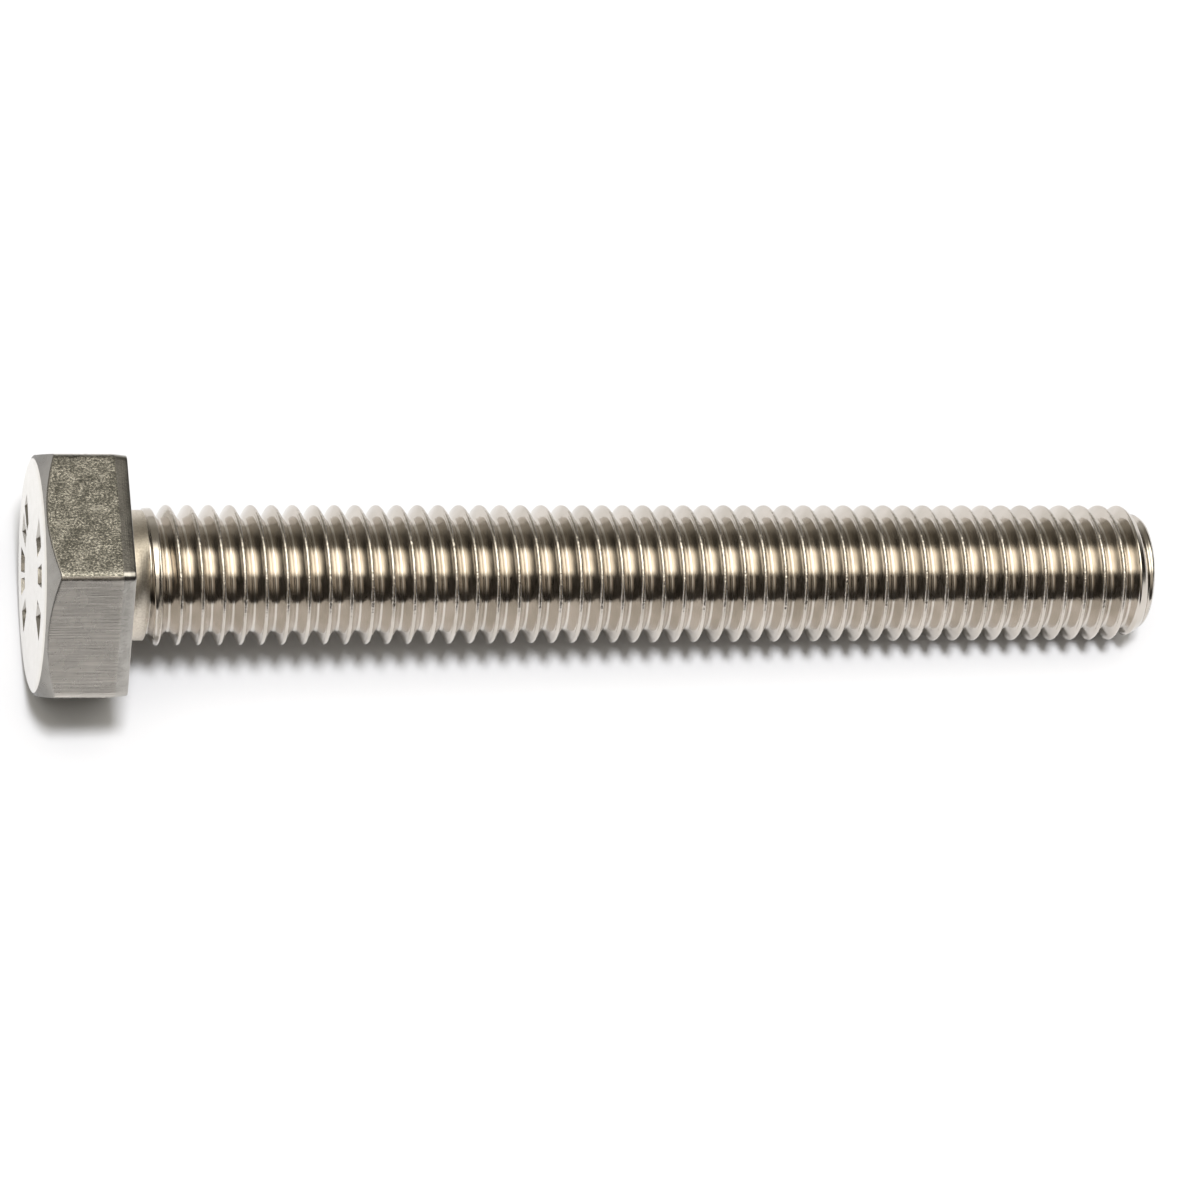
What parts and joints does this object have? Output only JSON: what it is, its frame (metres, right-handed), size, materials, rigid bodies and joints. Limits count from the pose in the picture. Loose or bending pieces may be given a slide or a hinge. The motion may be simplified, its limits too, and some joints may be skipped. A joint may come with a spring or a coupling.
{
  "type": "hexagon head bolt",
  "caption": "Fully threaded stainless steel M10 x 1.5 hexagon head bolt, 75 mm under the head.",
  "frame": {"origin": "centre of the bearing face under the head, on the bolt's axis", "axes": "+X along the shank towards the tip, so the head is on the -X side; +Z square to one pair of wrench flats"},
  "size_m": [0.0815, 0.0192, 0.0168],
  "materials": {
    "stainless": "plain bright stainless: thread rolled bright, flats sheared with a fine grain, chamfer and end turned"
  },
  "bodies": {
    "root": {"hex_bolt": "stainless"}
  },
  "joints": []
}
